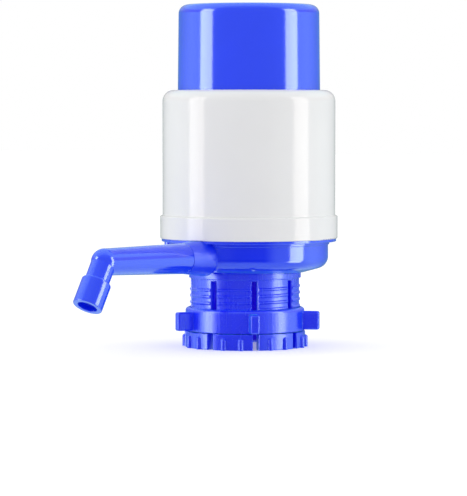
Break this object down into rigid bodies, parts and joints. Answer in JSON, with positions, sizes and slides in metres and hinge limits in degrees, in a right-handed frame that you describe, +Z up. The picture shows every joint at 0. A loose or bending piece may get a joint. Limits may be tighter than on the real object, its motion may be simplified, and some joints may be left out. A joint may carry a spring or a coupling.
{
  "type": "water jug hand pump",
  "caption": "Hand pump that clamps on the neck of a large water jug: pressing the blue cap works a bellows that lifts water to a bent spout.",
  "frame": {"origin": "on the press cap's axis, in the plane where the jug's rim meets the gasket; the neck's own axis is 3.9 mm towards the spout", "axes": "+Z up along the press cap's travel, -X along the spout, +Y to the side"},
  "size_m": [0.2077, 0.1034, 0.1986],
  "materials": {
    "cap_blue": "polished royal blue injection-moulded plastic",
    "shell_white": "polished white injection-moulded plastic",
    "base_blue": "polished royal blue injection-moulded plastic",
    "collet_blue": "satin royal blue injection-moulded plastic",
    "spout_blue": "polished royal blue injection-moulded plastic",
    "inner_white": "plain off-white moulded plastic",
    "bellows_rubber": "soft milky moulded rubber",
    "seal_rubber": "soft grey silicone",
    "screw_steel": "plated steel",
    "spring_steel": "drawn stainless wire"
  },
  "bodies": {
    "pump_base": {"base_body": "base_blue", "neck_collet": "collet_blue", "neck_gasket": "seal_rubber", "tube_seal": "seal_rubber", "deck_seal": "seal_rubber", "valve_deck": "inner_white", "outlet_valve": "seal_rubber", "bellows_clamp_ring": "inner_white", "deck_screws": "screw_steel", "housing": "shell_white", "bellows": "bellows_rubber", "return_spring": "spring_steel"},
    "press_group": {"press_cap": "cap_blue", "bellows_top_plate": "inner_white", "plate_screws": "screw_steel", "inlet_valve": "seal_rubber"},
    "spout": {"spout_arm": "spout_blue", "spout_seals": "seal_rubber", "nozzle_sleeve": "spout_blue"},
    "lock_ring": {"lock_ring": "collet_blue"}
  },
  "joints": [
    {"name": "press", "type": "slide", "parent": "pump_base", "child": "press_group", "axis": [0, 0, -1], "range_m": [0, 0.042], "stiffness_N_per_m": 400, "springref_m": -0.03, "deforming": ["bellows", "return_spring"]},
    {"name": "spout_swivel", "type": "hinge", "parent": "pump_base", "child": "spout", "pos_m": [-0.0638, 0, 0.0139], "axis": [-1, 0, 0], "continuous": true},
    {"name": "lock_ring_turn", "type": "hinge", "parent": "pump_base", "child": "lock_ring", "pos_m": [-0.0039, 0, -0.024], "axis": [0, 0, 1], "range_deg": [0, 360]}
  ]
}
